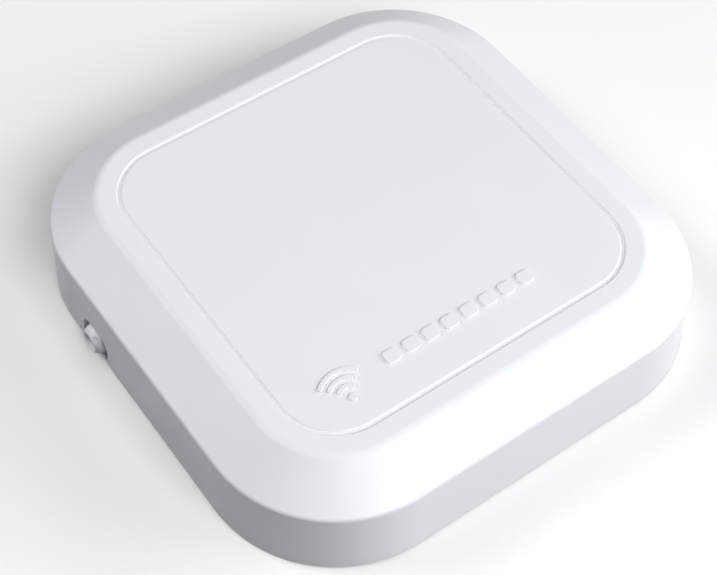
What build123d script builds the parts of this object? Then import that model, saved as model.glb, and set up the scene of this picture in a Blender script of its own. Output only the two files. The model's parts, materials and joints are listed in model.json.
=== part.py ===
"""Ceiling access point: a square, flat housing that twists onto a steel ceiling bracket.

The frame's origin is the centre of the bracket's back face, on the ceiling plane. +Z points out of
the ceiling, towards the face. -Y is the edge that carries the raised symbol, the port panel faces
+Y, and the power inlet is in the -X wall. All sizes are in millimetres.
"""

import os
from math import atan2, cos, degrees, sin, tan

from build123d import *

# ---------------------------------------------------------------- housing
side = 190.0  # width and depth at the rim
height = 40.0  # ceiling plane to face
corner_r = 48.0  # corner radius of the outline at the rim
rim_z = 0.5  # the rim stops this far short of the ceiling
shoulder_z = 29.2  # where the drafted wall meets the slope
draft_inset = 1.3  # the wall leans in by this much at the shoulder
slope_inset = 18.5  # inset of the slope's upper edge
cover_wall = 2.2
shoulder_fillet = 1.6
face_fillet = 5.0
groove_inset = 26.7  # centre line of the groove round the face
groove_width = 1.8
groove_depth = 0.6
groove_flank = 30.0  # lean of the groove's sides, in degrees
groove_rounding = 0.35
margin = 1.0  # how far outside a piece the shapes that cut it begin

# ---------------------------------------------------------------- raised symbol on the face
relief_height = 0.6
relief_rounding = 0.2
fan_x = -47.0
fan_y = -57.0
fan_dot_r = 1.5
fan_arc_radii = (4.6, 7.8, 11.0)
fan_arc_width = 1.6
fan_arc_angle = 90.0
level_bars = 8
level_bar_width = 5.6
level_bar_height = 5.0
level_bar_corner = 1.2
level_bar_pitch = 7.9
level_bar_y = -51.2

# ---------------------------------------------------------------- base pan
pan_z = 1.0  # underside of the pan's outer plate
pan_plate = 2.2
pan_gap = 0.3  # between the pan and the cover's wall
lip_wall = 1.6
lip_height = 5.0
recess_r = 66.0
recess_roof_z = 5.0  # underside of the roof over the bracket
vent_width = 2.2
vent_length = 14.0
vent_pitch = 5.0
vents_per_row = 8
vent_row_inset = 17.0  # from the outline
label_width = 44.0
label_depth = 12.0
label_thickness = 0.15
label_corner_r = 1.0

# ---------------------------------------------------------------- ceiling bracket and its studs
steel = 1.4
bracket_r = 64.0
bracket_centre_r = 46.0  # flat middle that lies on the ceiling
bracket_step = 2.0  # width of the sloped step up to the ring
bracket_ring_z = 2.8  # underside of the raised ring
cable_hole_r = 9.0
ceiling_hole_r = 2.25
ceiling_hole_circle = 70.0
ceiling_hole_count = 4
ceiling_hole_angle = 45.0
box_slot_spacing = 83.3
box_slot_length = 7.0
box_slot_width = 4.4
stud_count = 4
stud_circle_r = 55.0
stud_angle = 35.0  # of the first stud, locked
stud_neck_r = 1.8
stud_head_r = 3.2
stud_head_z = 1.3
stud_head_thickness = 1.1
stud_clearance = 0.3
twist_angle = 20.0  # locked to released

# ---------------------------------------------------------------- screws that close the housing
boss_inset = 25.0  # from the outline, both ways
boss_r = 4.0
well_r = 4.6
well_roof = 2.0
screw_r = 1.45
screw_hole_r = 1.5
screw_clear_r = 1.75
screw_head_r = 2.9
screw_head_height = 2.0
screw_length = 10.0
screw_drive_r = 1.1
head_room = 0.4

# ---------------------------------------------------------------- main board
board_width = 120.0
board_depth = 130.0
board_thickness = 1.6
board_corner_r = 3.0
standoff = 2.5  # recess roof to board
standoff_r = 3.5
board_edge_gap = 3.1  # board to port panel
board_screw_x = 54.0
board_screw_front = 6.0  # from the board's front edge
board_screw_back = 26.0  # from the board's back edge
board_screw_length = 5.5
board_screw_r = 1.2
board_pilot_r = 1.25
board_hole_r = 1.5
board_screw_head_r = 2.4
board_screw_head_height = 1.5
board_screw_cross_length = 3.2
board_screw_cross_width = 0.6

# ---------------------------------------------------------------- port panel and what shows in it
panel_thickness = 1.8
panel_setback = 2.1  # the panel's outer face, in from the outline at the rim
panel_half_width = 52.0
panel_above_jacks = 1.95
panel_gap = 0.25
panel_foot_depth = 6.0  # the foot lies on the pan and is pegged through it
panel_foot_thickness = 1.5
panel_foot_half_width = 46.0
panel_peg_r = 1.5
panel_peg_fit = 0.05
panel_peg_x = 38.0
port_gap = 0.2
jack_width = 16.0
jack_depth = 21.0
jack_height = 13.5
jack_spacing = 3.0
jack_edge_x = 42.0  # outer side of the outer jack
jack_shell = 0.3
jack_fit = 0.05
mouth_width = 11.8
mouth_height = 6.8
mouth_depth = 13.0
mouth_lift = 2.4  # the mouth's floor above the board
mouth_key_width = 6.4
mouth_key_height = 2.0
contact_count = 8
contact_pitch = 1.02
contact_size = 0.4
contact_rise = 1.9
contact_setback = 3.0  # from the jack's mouth
reset_gap = 7.0  # from the inner jack's side to the reset hole
pair_gap = 11.0  # from the reset hole to the pairing button
led_gap = 10.0  # from the pairing button to the first light
button_lift = 3.0  # button axes above the board
pair_cap_r = 3.4
pair_cap_proud = 0.5
pair_cap_rounding = 0.4
pair_flange_r = 4.2
pair_flange = 0.9
pair_travel = 0.6
nib_r = 0.9
nib_bore_r = 1.0
nib_sunk = 1.0  # the nibs and their bores reach this far into the switches
reset_travel = 0.3
reset_hole_r = 0.9
switch_width = 6.0
switch_depth = 4.0
switch_height = 5.2
switch_setback = 1.0  # from the board's back edge
led_count = 3
led_pitch = 5.0
led_lift = 2.6
led_size = 1.6
led_height = 0.8
led_setback = 5.0  # from the board's back edge
pipe_size = 2.0
pipe_bridge = 1.6
pipe_mirror = 1.6  # slanted face above each light
window_gap = 0.1

# ---------------------------------------------------------------- power inlet in the left wall
inlet_y = 30.8
inlet_z = 7.1
collar_r = 5.6
collar_reach = 2.5  # beyond the outline at the rim
collar_dome = 3.5  # rounding of the collar's end
collar_dish_r = 4.1  # lead-in for the plug
collar_dish_depth = 1.9
collar_lip = 0.6
collar_lip_r = 2.4
socket_barrel_r = 3.2
socket_fit = 0.05
socket_bore_r = 2.25
socket_bore_depth = 9.5
socket_body_width = 8.0
socket_body_height = 7.4
socket_body_length = 9.0
inlet_pin_r = 0.85
inlet_pin_sink = 0.5
inlet_pin_rounding = 0.34
terminal_width = 2.0
terminal_thickness = 0.5
terminal_length = 4.0
terminal_spacing = 4.4
notch_half_width = 8.2
notch_top_z = 13.2
notch_corner_r = 5.5
notch_flare_r = 2.0
notch_panel_setback = 4.6
notch_panel_width = 21.0
notch_panel_top_z = 19.0
cradle_wall = 1.4
cradle_height = 5.0
wire_r = 0.7
wire_bend = 2.5
wire_run = 4.0  # straight stretch behind the terminals
wire_climb = 4.0
header_width = 6.0
header_depth = 9.0
header_height = 6.0
header_edge_gap = 4.0
header_offset = 14.0  # along +Y from the inlet's axis

# ---------------------------------------------------------------- parts on the board
processor_size = 23.0
processor_height = 1.6
processor_from_front = 64.0  # places on the board are taken from its front edge
pad_thickness = 0.6
sink_size = 42.0
sink_base = 2.0
sink_height = 12.0
sink_fins = 9
sink_fin = 1.2
sink_pin_offset = 17.0
sink_pin_r = 1.4
sink_pin_hole_r = 1.5
sink_pin_head_r = 2.8
sink_pin_head_height = 1.2
sink_pin_below = 1.0  # under the board
sink_pin_room = 1.0  # between a pin's head and the fins
shield_width = 32.0
shield_depth = 25.0
shield_height = 2.6
shield_wall = 0.3
shield_corner_r = 1.0
shield_vent_r = 0.8
shield_vent_columns = 4
shield_vent_rows = 3
shield_x = 27.0
shield_from_front = 25.0
capacitor_r = 3.15
capacitor_height = 7.7
capacitor_chamfer = 0.4
capacitor_places = [(-46, 46), (-46, 55), (-34, 92), (-34, 102)]  # x and distance from the front edge
transformer_size = (14, 9)
transformer_height = 5.5
transformer_from_back = 30.0
block_parts = {  # places (x and distance from the front edge), footprint, height
    "radio_chips": ([(-shield_x, shield_from_front), (shield_x, shield_from_front)], (9, 9), 1.0),
    "memory_chips": ([(30, 58), (30, 73)], (10, 13), 1.1),
    "flash_chip": ([(46, 54)], (8, 6), 1.4),
    "power_coils": ([(-32, 50), (-32, 59), (-32, 68)], (7, 7), 4.0),
}

# ---------------------------------------------------------------- antennas and their leads
antenna_board = 0.8
antenna_length = 36.0
antenna_height = 14.0
antenna_inset = 16.0  # from the outline
front_antenna_x = 42.0
side_antenna_y = -20.0
post_size = 4.0
post_height = 9.0
post_fit = 0.1
trace_thickness = 0.1
lead_r = 0.65
lead_bend = 4.0
lead_step = 5.0  # half of the slanted stretch, along the lead's way
plug_r = 1.5
plug_height = 2.0
plug_tail = 3.0  # plug's middle to the end of its crimp
plug_tail_width = 1.8
front_plug_x = 33.0
plug_from_front = 5.5  # from the board's front edge
side_plug_x = 51.0
side_plug_from_front = 32.0

# ---------------------------------------------------------------- what follows from the sizes above
half = side / 2
face_inner_z = height - cover_wall
slope_run = slope_inset - draft_inset
slope_angle = atan2(slope_run, height - shoulder_z)
draft_angle = atan2(draft_inset, shoulder_z - rim_z)
pan_top_z = pan_z + pan_plate
roof_top_z = recess_roof_z + pan_plate
board_z = roof_top_z + standoff
board_top = board_z + board_thickness
panel_y = half - panel_setback
panel_inner_y = panel_y - panel_thickness
panel_top_z = board_top + jack_height + panel_above_jacks
panel_peg_places = [(sx * panel_peg_x, panel_inner_y - panel_foot_depth / 2) for sx in (-1, 1)]
board_back = panel_inner_y - board_edge_gap
board_front = board_back - board_depth
boss_at = half - boss_inset
screw_seat_z = pan_z + head_room + screw_head_height
well_top_z = screw_seat_z + well_roof
jack_pitch = jack_width + jack_spacing
jack_places = {"wan": jack_edge_x - jack_width / 2, "lan": jack_edge_x - jack_width / 2 - jack_pitch}
reset_x = jack_places["lan"] - jack_width / 2 - reset_gap
pair_x = reset_x - pair_gap
led_places = [pair_x - led_gap - k * led_pitch for k in range(led_count)]
processor_y = board_front + processor_from_front
shield_y = board_front + shield_from_front
side_plug_y = board_front + side_plug_from_front
button_z = board_top + button_lift
notch_panel_x = -(half - notch_panel_setback)
notch_panel_inner_x = notch_panel_x + panel_thickness
lead_z = board_top + plug_height / 2
corner_places = [(sx * boss_at, sy * boss_at) for sx in (-1, 1) for sy in (-1, 1)]
board_screw_places = [
    (sx * board_screw_x, y)
    for sx in (-1, 1)
    for y in (board_front + board_screw_front, board_back - board_screw_back)
]
antenna_places = {
    "front_left_antenna": (-front_antenna_x, -(half - antenna_inset), 0),
    "front_right_antenna": (front_antenna_x, -(half - antenna_inset), 0),
    "side_left_antenna": (-(half - antenna_inset), side_antenna_y, 90),
    "side_right_antenna": (half - antenna_inset, side_antenna_y, 90),
}

os.makedirs("parts", exist_ok=True)


def write(part, name):
    """Label a finished piece and write it as parts/NAME.step."""
    part.label = name
    export_step(part, f"parts/{name}.step")


def outline(inset):
    """Width, depth and corner radius of the housing's outline, moved in by inset."""
    return side - 2 * inset, side - 2 * inset, corner_r - inset


def edges_at_height(edges, z):
    """Those of the edges that lie at one height."""
    return edges.filter_by_position(Axis.Z, z - 0.01, z + 0.01)


def block_on(z, height_above, *places, size):
    """Boxes of one size standing on a plane at height z, for the small parts of a board."""
    with BuildPart() as blocks:
        with BuildSketch(Plane.XY.offset(z)):
            with Locations(*places):
                Rectangle(*size)
        extrude(amount=height_above)
    return blocks.part


# ================================================================ front cover
def inner_bend():
    """Height and inset of the inside corner between wall and slope, and the slope's inner top."""
    slope_z = shoulder_z - cover_wall * sin(slope_angle)
    slope_in = draft_inset + cover_wall * cos(slope_angle)
    lean = tan(draft_angle)
    pitch = tan(slope_angle)
    z = (slope_z * pitch - slope_in + cover_wall - rim_z * lean) / (pitch - lean)
    return z, cover_wall + (z - rim_z) * lean, slope_in + (face_inner_z - slope_z) * pitch


def housing_block(inset, bend_z, bend_inset, top_z, top_inset):
    """Drafted wall below and slope above, each level concentric with the outline."""
    with BuildPart() as block:
        with BuildSketch(Plane.XY.offset(rim_z)):
            RectangleRounded(*outline(inset))
        extrude(amount=bend_z - rim_z, taper=degrees(draft_angle))
        with BuildSketch(Plane.XY.offset(bend_z)):
            RectangleRounded(*outline(bend_inset))
        extrude(amount=top_z - bend_z, taper=degrees(slope_angle))
    return block.part


bend_z, bend_inset, inner_top_inset = inner_bend()

with BuildPart() as hollow:
    add(housing_block(cover_wall, bend_z, bend_inset, face_inner_z, inner_top_inset))
    with BuildSketch(Plane.XY.offset(well_top_z)):
        with Locations(*corner_places):
            Circle(boss_r)
    extrude(amount=height, mode=Mode.SUBTRACT)

with BuildPart() as groove_ring:
    with BuildSketch(Plane.XY.offset(height)):
        RectangleRounded(*outline(groove_inset - groove_width / 2))
    extrude(amount=-groove_depth, taper=groove_flank)
    with BuildSketch(Plane.XY.offset(height)):
        RectangleRounded(*outline(groove_inset + groove_width / 2))
    extrude(amount=-groove_depth, taper=-groove_flank, mode=Mode.SUBTRACT)

with BuildPart() as front_cover:
    add(housing_block(0, shoulder_z, draft_inset, height, slope_inset))
    fillet(edges_at_height(front_cover.edges(), height), radius=face_fillet)
    fillet(edges_at_height(front_cover.edges(), shoulder_z), radius=shoulder_fillet)
    add(hollow.part, mode=Mode.SUBTRACT)
    add(groove_ring.part, mode=Mode.SUBTRACT)
    fillet(edges_at_height(front_cover.edges(Select.LAST), height), radius=groove_rounding)
    # raised signal fan and level bars
    with BuildSketch(Plane.XY.offset(height)):
        with Locations((fan_x, fan_y)):
            Circle(fan_dot_r)
            for r in fan_arc_radii:
                SlotArc(CenterArc((0, 0), r, 90 - fan_arc_angle / 2, fan_arc_angle), fan_arc_width)
        with Locations((0, level_bar_y)):
            with GridLocations(level_bar_pitch, 1, level_bars, 1):
                RectangleRounded(level_bar_width, level_bar_height, level_bar_corner)
    extrude(amount=relief_height)
    fillet(edges_at_height(front_cover.edges(Select.LAST), height + relief_height), radius=relief_rounding)
    # arch for the power inlet in the left wall, flared at the rim
    with BuildSketch(Plane.YZ.offset(-half - margin)) as arch:
        with Locations((inlet_y, 0)):
            Rectangle(2 * notch_half_width, notch_top_z, align=(Align.CENTER, Align.MIN))
        fillet(arch.vertices().group_by(Axis.Z)[-1], radius=notch_corner_r)
    extrude(amount=margin + notch_panel_setback, mode=Mode.SUBTRACT)
    rim_corners = edges_at_height(front_cover.edges(Select.LAST), rim_z).filter_by(Axis.X)
    fillet(rim_corners, radius=notch_flare_r)
    # opening for the port panel in the back wall
    with BuildSketch(Plane.XZ.offset(-half - margin)):
        Rectangle(
            2 * (panel_half_width + panel_gap), panel_top_z + panel_gap, align=(Align.CENTER, Align.MIN)
        )
    extrude(amount=margin + panel_setback + panel_thickness, mode=Mode.SUBTRACT)
    # pilot holes in the bosses
    with BuildSketch(Plane.XY.offset(well_top_z)):
        with Locations(*corner_places):
            Circle(screw_hole_r)
    extrude(amount=screw_length, mode=Mode.SUBTRACT)
write(front_cover.part, "front_cover")

# ================================================================ base pan
pan_inset = cover_wall + pan_gap + (pan_z - rim_z) * tan(draft_angle)
socket_body_x = notch_panel_inner_x + socket_body_length / 2

with BuildPart() as base_pan:
    with BuildSketch(Plane.XY.offset(pan_z)):
        RectangleRounded(*outline(pan_inset))
    extrude(amount=pan_plate + lip_height, taper=degrees(draft_angle))
    with BuildSketch(Plane.XY.offset(pan_top_z)):
        RectangleRounded(*outline(pan_inset + lip_wall))
    extrude(amount=lip_height + margin, taper=degrees(draft_angle), mode=Mode.SUBTRACT)
    # wall round the recess, standoffs, screw wells and antenna posts
    with BuildSketch(Plane.XY.offset(pan_z)):
        Circle(recess_r + pan_plate)
    extrude(amount=roof_top_z - pan_z)
    with BuildSketch(Plane.XY.offset(pan_z)):
        with Locations(*board_screw_places):
            Circle(standoff_r)
    extrude(amount=board_z - pan_z)
    with BuildSketch(Plane.XY.offset(pan_z)):
        with Locations(*corner_places):
            Circle(well_r)
    extrude(amount=well_top_z - pan_z)
    for x, y, turn in antenna_places.values():
        with BuildSketch(Plane.XY.offset(pan_top_z)):
            with Locations(Location((x, y, 0), (0, 0, turn))):
                with GridLocations(antenna_length - post_size, 1, 2, 1):
                    Rectangle(post_size, post_size)
        extrude(amount=post_height)
        with BuildSketch(Plane.XY.offset(pan_top_z)):
            with Locations(Location((x, y, 0), (0, 0, turn))):
                Rectangle(antenna_length + 2 * post_fit, antenna_board + 2 * post_fit)
        extrude(amount=post_height, mode=Mode.SUBTRACT)
    # room for the port panel, its foot and its pegs
    with BuildSketch(Plane.XY.offset(pan_z)):
        with Locations((0, panel_inner_y)):
            Rectangle(2 * panel_half_width, pan_inset, align=(Align.CENTER, Align.MIN))
    extrude(amount=height, mode=Mode.SUBTRACT)
    with BuildSketch(Plane.XY.offset(pan_top_z)):
        with Locations((0, half)):
            Rectangle(2 * panel_half_width, half - panel_inner_y + lip_wall, align=(Align.CENTER, Align.MAX))
    extrude(amount=lip_height, mode=Mode.SUBTRACT)
    with BuildSketch(Plane.XY.offset(pan_z)):
        with Locations(*panel_peg_places):
            Circle(panel_peg_r + panel_peg_fit)
    extrude(amount=pan_plate, mode=Mode.SUBTRACT)
    # upright panel behind the left wall's arch, and a cradle for the inlet's socket
    with BuildSketch(Plane.XY.offset(pan_z)):
        with Locations((notch_panel_x, inlet_y)):
            Rectangle(panel_thickness, notch_panel_width, align=(Align.MIN, Align.CENTER))
        with Locations((socket_body_x, inlet_y)):
            with GridLocations(1, socket_body_width + 2 * port_gap + cradle_wall, 1, 2):
                Rectangle(socket_body_length, cradle_wall)
    extrude(amount=pan_plate + cradle_height)
    with BuildSketch(Plane.XY.offset(pan_z)):
        with Locations((notch_panel_x, inlet_y)):
            Rectangle(panel_thickness, notch_panel_width, align=(Align.MIN, Align.CENTER))
    extrude(amount=notch_panel_top_z - pan_z)
    # the arch stays open down to the ceiling, in front of its panel
    with BuildSketch(Plane.XY):
        with Locations((notch_panel_x, inlet_y)):
            Rectangle(notch_panel_setback, 2 * notch_half_width, align=(Align.MAX, Align.CENTER))
    extrude(amount=height, mode=Mode.SUBTRACT)
    with BuildSketch(Plane.YZ.offset(notch_panel_x)):
        with Locations((inlet_y, inlet_z)):
            Circle(socket_barrel_r + socket_fit)
    extrude(amount=panel_thickness, mode=Mode.SUBTRACT)
    # recess for the bracket, and the studs that hook into it
    with BuildSketch(Plane.XY):
        Circle(recess_r)
    extrude(amount=recess_roof_z, mode=Mode.SUBTRACT)
    with BuildSketch(Plane.XY.offset(stud_head_z)):
        with PolarLocations(stud_circle_r, stud_count, start_angle=stud_angle):
            Circle(stud_neck_r)
    extrude(amount=recess_roof_z - stud_head_z)
    with BuildSketch(Plane.XY.offset(stud_head_z)):
        with PolarLocations(stud_circle_r, stud_count, start_angle=stud_angle):
            Circle(stud_head_r)
    extrude(amount=stud_head_thickness)
    # wells and clearance holes for the cover's screws, pilot holes for the board's
    with BuildSketch(Plane.XY):
        with Locations(*corner_places):
            Circle(screw_head_r + head_room)
    extrude(amount=screw_seat_z, mode=Mode.SUBTRACT)
    with BuildSketch(Plane.XY):
        with Locations(*corner_places):
            Circle(screw_clear_r)
    extrude(amount=well_top_z, mode=Mode.SUBTRACT)
    with BuildSketch(Plane.XY.offset(board_z)):
        with Locations(*board_screw_places):
            Circle(board_pilot_r)
    extrude(amount=-(board_screw_length - board_thickness + port_gap), mode=Mode.SUBTRACT)
    # rows of vents through the plate, front and back of the recess
    with BuildSketch(Plane.XY.offset(pan_z)):
        with Locations((0, -(half - vent_row_inset))):
            with GridLocations(label_width + vents_per_row * vent_pitch, 1, 2, 1):
                with GridLocations(vent_pitch, 1, vents_per_row // 2, 1):
                    SlotOverall(vent_length, vent_width, rotation=90)
    extrude(amount=pan_plate, mode=Mode.SUBTRACT)
write(base_pan.part, "base_pan")

# ================================================================ port panel
with BuildPart() as port_panel:
    with BuildSketch(Plane.XY.offset(pan_z)):
        with Locations((0, panel_y)):
            Rectangle(2 * panel_half_width, panel_thickness, align=(Align.CENTER, Align.MAX))
    extrude(amount=panel_top_z - pan_z)
    with BuildSketch(Plane.XY.offset(pan_top_z)):
        with Locations((0, panel_inner_y)):
            Rectangle(2 * panel_foot_half_width, panel_foot_depth, align=(Align.CENTER, Align.MAX))
    extrude(amount=panel_foot_thickness)
    with BuildSketch(Plane.XY.offset(pan_z)):
        with Locations(*panel_peg_places):
            Circle(panel_peg_r)
    extrude(amount=pan_plate)
    # windows for the jacks, the button, the reset pin and the lights
    with BuildSketch(Plane.XZ.offset(-panel_y)):
        for x in jack_places.values():
            with Locations((x, board_top - port_gap)):
                Rectangle(
                    jack_width + 2 * port_gap, jack_height + 2 * port_gap, align=(Align.CENTER, Align.MIN)
                )
        with Locations((pair_x, button_z)):
            Circle(pair_cap_r + port_gap)
        with Locations((reset_x, button_z)):
            Circle(reset_hole_r)
        with Locations(*[(x, board_top + led_lift) for x in led_places]):
            Rectangle(pipe_size + 2 * window_gap, pipe_size + 2 * window_gap)
    extrude(amount=panel_thickness, mode=Mode.SUBTRACT)
write(port_panel.part, "port_panel")

with BuildPart() as cover_screws:
    with BuildSketch(Plane.XY.offset(screw_seat_z - screw_head_height)):
        with Locations(*corner_places):
            Circle(screw_head_r)
    extrude(amount=screw_head_height)
    with BuildSketch(Plane.XY.offset(screw_seat_z)):
        with Locations(*corner_places):
            Circle(screw_r)
    extrude(amount=screw_length - well_roof)
    with BuildSketch(Plane.XY.offset(screw_seat_z - screw_head_height)):
        with Locations(*corner_places):
            RegularPolygon(screw_drive_r, 6)
    extrude(amount=screw_head_height / 2, mode=Mode.SUBTRACT)
write(cover_screws.part, "cover_screws")

with BuildPart() as rating_label:
    with BuildSketch(Plane.XY.offset(pan_z - label_thickness)):
        with Locations((0, -(half - vent_row_inset))):
            RectangleRounded(label_width, label_depth, label_corner_r)
    extrude(amount=label_thickness)
write(rating_label.part, "rating_label")

# ================================================================ ceiling bracket
ring_inner_r = bracket_centre_r + bracket_step
ring_top_z = bracket_ring_z + steel
slot_half_width = stud_neck_r + stud_clearance
released_angle = stud_angle + twist_angle

with BuildPart() as ceiling_bracket:
    with BuildSketch(Plane.XZ):
        with BuildLine():
            Polyline(
                (cable_hole_r, 0),
                (bracket_centre_r, 0),
                (ring_inner_r, bracket_ring_z),
                (bracket_r - steel, bracket_ring_z),
                (bracket_r - steel, 0),
                (bracket_r, 0),
                (bracket_r, ring_top_z),
                (ring_inner_r - steel / 2, ring_top_z),
                (bracket_centre_r - steel / 2, steel),
                (cable_hole_r, steel),
                close=True,
            )
        make_face()
    revolve(axis=Axis.Z)
    outer_edge = edges_at_height(ceiling_bracket.edges(), ring_top_z).sort_by(SortBy.LENGTH)[-1]
    fillet(outer_edge, radius=steel / 2)
    # ceiling screws and the slots for a wiring box
    with BuildSketch(Plane.XY):
        with PolarLocations(ceiling_hole_circle / 2, ceiling_hole_count, start_angle=ceiling_hole_angle):
            Circle(ceiling_hole_r)
        with GridLocations(box_slot_spacing, 1, 2, 1):
            SlotOverall(box_slot_length, box_slot_width)
    extrude(amount=steel, mode=Mode.SUBTRACT)
    # keyhole slots: a round entry at the released end, an arc back to the locked end
    with BuildSketch(Plane.XY.offset(bracket_ring_z)):
        with PolarLocations(stud_circle_r, stud_count, start_angle=released_angle):
            Circle(stud_head_r + stud_clearance)
        for k in range(stud_count):
            start = stud_angle + 360 * k / stud_count
            SlotArc(CenterArc((0, 0), stud_circle_r, start, twist_angle), 2 * slot_half_width)
    extrude(amount=steel, mode=Mode.SUBTRACT)
write(ceiling_bracket.part, "ceiling_bracket")

# ================================================================ main board
with BuildPart() as main_board:
    with BuildSketch(Plane.XY.offset(board_z)):
        with Locations((0, (board_front + board_back) / 2)):
            RectangleRounded(board_width, board_depth, board_corner_r)
        with Locations(*board_screw_places):
            Circle(board_hole_r, mode=Mode.SUBTRACT)
        with Locations((-sink_pin_offset, processor_y + sink_pin_offset)):
            Circle(sink_pin_hole_r, mode=Mode.SUBTRACT)
        with Locations((sink_pin_offset, processor_y - sink_pin_offset)):
            Circle(sink_pin_hole_r, mode=Mode.SUBTRACT)
    extrude(amount=board_thickness)
write(main_board.part, "main_board")

with BuildPart() as board_screws:
    with BuildSketch(Plane.XY.offset(board_top - board_screw_length)):
        with Locations(*board_screw_places):
            Circle(board_screw_r)
    extrude(amount=board_screw_length)
    with BuildSketch(Plane.XY.offset(board_top)):
        with Locations(*board_screw_places):
            Circle(board_screw_head_r)
    extrude(amount=board_screw_head_height)
    with BuildSketch(Plane.XY.offset(board_top + board_screw_head_height)):
        with Locations(*board_screw_places):
            Rectangle(board_screw_cross_length, board_screw_cross_width)
            Rectangle(board_screw_cross_width, board_screw_cross_length)
    extrude(amount=-board_screw_head_height / 2, mode=Mode.SUBTRACT)
write(board_screws.part, "board_screws")

# processor, its pad and its heat sink
processor = block_on(board_top, processor_height, (0, processor_y), size=(processor_size, processor_size))
write(processor, "processor")
pad_z = board_top + processor_height
thermal_pad = block_on(pad_z, pad_thickness, (0, processor_y), size=(processor_size, processor_size))
write(thermal_pad, "thermal_pad")

sink_z = pad_z + pad_thickness
sink_pin_places = [
    (-sink_pin_offset, processor_y + sink_pin_offset),
    (sink_pin_offset, processor_y - sink_pin_offset),
]
with BuildPart() as heat_sink:
    with BuildSketch(Plane.XY.offset(sink_z)):
        with Locations((0, processor_y)):
            Rectangle(sink_size, sink_size)
    extrude(amount=sink_base)
    with BuildSketch(Plane.XY.offset(sink_z + sink_base)):
        with Locations((0, processor_y)):
            with GridLocations((sink_size - sink_fin) / (sink_fins - 1), 1, sink_fins, 1):
                Rectangle(sink_fin, sink_size)
    extrude(amount=sink_height - sink_base)
    with BuildSketch(Plane.XY.offset(sink_z + sink_base)):
        with Locations(*sink_pin_places):
            Circle(sink_pin_head_r + sink_pin_room)
    extrude(amount=sink_height, mode=Mode.SUBTRACT)
    with BuildSketch(Plane.XY.offset(sink_z)):
        with Locations(*sink_pin_places):
            Circle(sink_pin_hole_r)
    extrude(amount=sink_base, mode=Mode.SUBTRACT)
write(heat_sink.part, "heat_sink")

with BuildPart() as heat_sink_pins:
    with BuildSketch(Plane.XY.offset(board_z - sink_pin_below)):
        with Locations(*sink_pin_places):
            Circle(sink_pin_r)
    extrude(amount=sink_z + sink_base - board_z + sink_pin_below)
    with BuildSketch(Plane.XY.offset(sink_z + sink_base)):
        with Locations(*sink_pin_places):
            Circle(sink_pin_head_r)
    extrude(amount=sink_pin_head_height)
write(heat_sink_pins.part, "heat_sink_pins")

# radio shields, open below, over the board
for name, x in {"left_radio_shield": -shield_x, "right_radio_shield": shield_x}.items():
    with BuildPart() as shield:
        with BuildSketch(Plane.XY.offset(board_top)):
            with Locations((x, shield_y)):
                RectangleRounded(shield_width, shield_depth, shield_corner_r)
        extrude(amount=shield_height)
        with BuildSketch(Plane.XY.offset(board_top)):
            with Locations((x, shield_y)):
                Rectangle(shield_width - 2 * shield_wall, shield_depth - 2 * shield_wall)
        extrude(amount=shield_height - shield_wall, mode=Mode.SUBTRACT)
        with BuildSketch(Plane.XY.offset(board_top + shield_height)):
            with Locations((x, shield_y)):
                with GridLocations(
                    shield_width / shield_vent_columns,
                    shield_depth / shield_vent_rows,
                    shield_vent_columns,
                    shield_vent_rows,
                ):
                    Circle(shield_vent_r)
        extrude(amount=-shield_wall, mode=Mode.SUBTRACT)
    write(shield.part, name)

for name, (places, size, tall) in block_parts.items():
    on_board = [(x, board_front + from_front) for x, from_front in places]
    write(block_on(board_top, tall, *on_board, size=size), name)

behind_jacks = [(x, board_back - transformer_from_back) for x in jack_places.values()]
line_transformers = block_on(board_top, transformer_height, *behind_jacks, size=transformer_size)
write(line_transformers, "line_transformers")

with BuildPart() as capacitors:
    with BuildSketch(Plane.XY.offset(board_top)):
        with Locations((0, board_front)):
            with Locations(*capacitor_places):
                Circle(capacitor_r)
    extrude(amount=capacitor_height)
    chamfer(capacitors.edges().filter_by(GeomType.CIRCLE).group_by(Axis.Z)[-1], capacitor_chamfer)
write(capacitors.part, "capacitors")

# ================================================================ wired network jacks
mouth_z = board_top + mouth_lift
mouth_top_z = mouth_z + mouth_height + mouth_key_height
insert_width = jack_width - 2 * (jack_shell + jack_fit)

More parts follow.
